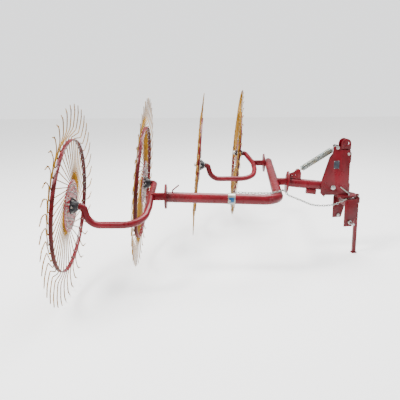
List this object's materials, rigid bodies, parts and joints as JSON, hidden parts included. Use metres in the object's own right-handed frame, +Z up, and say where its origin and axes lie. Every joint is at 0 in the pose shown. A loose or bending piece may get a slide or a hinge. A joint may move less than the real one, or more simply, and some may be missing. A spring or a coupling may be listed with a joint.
{
  "type": "mounted wheel hay rake with four finger wheels",
  "caption": "Three-point mounted wheel hay rake: finger wheels on paired rockers, a bent tube boom, a tension spring, a swivelling headstock and a parking leg.",
  "frame": {"origin": "on the ground at the middle of the bounding box", "axes": "+X towards the tractor, +Y to the tractor's left along the row of wheels, +Z up"},
  "size_m": [2.3571, 3.8004, 1.395],
  "materials": {
    "red_paint": "gloss",
    "tine_steel": "satin",
    "black_paint": "satin",
    "zinc_steel": "satin",
    "dark_plate": "satin"
  },
  "bodies": {
    "hitch": {"swivel_post": "red_paint", "hitch_disc": "red_paint", "hitch_neck": "red_paint", "hitch_crossbar": "red_paint", "link_plate_near": "red_paint", "link_plate_far": "red_paint", "link_pin_near": "zinc_steel", "link_pin_far": "zinc_steel", "top_link_plate_near": "red_paint", "top_link_plate_far": "red_paint", "stand_arm": "red_paint", "stand_sleeve": "red_paint"},
    "headstock": {"headstock_plate_near": "red_paint", "headstock_plate_far": "red_paint", "lift_pin": "zinc_steel", "spring_bolt": "zinc_steel", "post_collar_lower": "red_paint", "post_collar_upper": "red_paint", "swivel_disc": "red_paint", "swivel_lock_pin": "zinc_steel", "blank_plate": "dark_plate", "spring_eye_upper": "zinc_steel"},
    "boom": {"frame_tube": "red_paint", "frame_disc_near": "red_paint", "frame_disc_far": "red_paint", "tube_end_cap": "black_paint", "lock_handle_near": "red_paint", "band_clamp": "zinc_steel", "boom_stub": "red_paint", "boom_tube": "red_paint", "spring_bracket": "red_paint", "boom_rest_block": "red_paint", "tension_spring": "zinc_steel", "spring_eye_lower": "zinc_steel", "lift_chain": "zinc_steel"},
    "rocker_near": {"rocker_arm_near": "red_paint", "rocker_pivot_near": "red_paint", "wheel_axle_1": "zinc_steel", "wheel_axle_2": "zinc_steel"},
    "rocker_far": {"rocker_arm_far": "red_paint", "rocker_pivot_far": "red_paint", "wheel_axle_3": "zinc_steel", "wheel_axle_4": "zinc_steel"},
    "stand": {"parking_leg": "red_paint", "parking_foot": "red_paint", "parking_leg_pin": "zinc_steel"},
    "wheel_1": {"finger_wheel_1": "tine_steel", "wheel_hub_1": "black_paint"},
    "wheel_2": {"finger_wheel_2": "tine_steel", "wheel_hub_2": "black_paint"},
    "wheel_3": {"finger_wheel_3": "tine_steel", "wheel_hub_3": "black_paint"},
    "wheel_4": {"finger_wheel_4": "tine_steel", "wheel_hub_4": "black_paint"}
  },
  "joints": [
    {"name": "swivel", "type": "hinge", "parent": "hitch", "child": "headstock", "pos_m": [1.041, -0.225, 0.543], "axis": [0, 0, 1], "range_deg": [-30, 30], "deforming": ["lift_chain"]},
    {"name": "boom_lift", "type": "hinge", "parent": "headstock", "child": "boom", "pos_m": [0.922, -0.225, 0.6135], "axis": [0, 1, 0], "range_deg": [-12, 15], "deforming": ["tension_spring", "spring_eye_lower", "spring_eye_upper"]},
    {"name": "rocker_near_tilt", "type": "hinge", "parent": "boom", "child": "rocker_near", "pos_m": [-0.5957, -0.8111, 0.668], "axis": [1, 0, 0], "range_deg": [-15, 15]},
    {"name": "rocker_far_tilt", "type": "hinge", "parent": "boom", "child": "rocker_far", "pos_m": [0.319, 0.8111, 0.648], "axis": [1, 0, 0], "range_deg": [-15, 15]},
    {"name": "wheel_1_spin", "type": "hinge", "parent": "rocker_near", "child": "wheel_1", "pos_m": [-1.1207, -1.2001, 0.69765], "axis": [0.9963, 0, -0.0854], "continuous": true},
    {"name": "wheel_2_spin", "type": "hinge", "parent": "rocker_near", "child": "wheel_2", "pos_m": [-0.7009, -0.4221, 0.69765], "axis": [0.9963, 0, -0.0854], "continuous": true},
    {"name": "wheel_3_spin", "type": "hinge", "parent": "rocker_far", "child": "wheel_3", "pos_m": [-0.253, 0.4221, 0.69765], "axis": [0.9963, 0, -0.0854], "continuous": true},
    {"name": "wheel_4_spin", "type": "hinge", "parent": "rocker_far", "child": "wheel_4", "pos_m": [0.1668, 1.2001, 0.69765], "axis": [0.9963, 0, -0.0854], "continuous": true},
    {"name": "stand_slide", "type": "slide", "parent": "hitch", "child": "stand", "axis": [0, 0, 1], "range_m": [0, 0.22]}
  ]
}
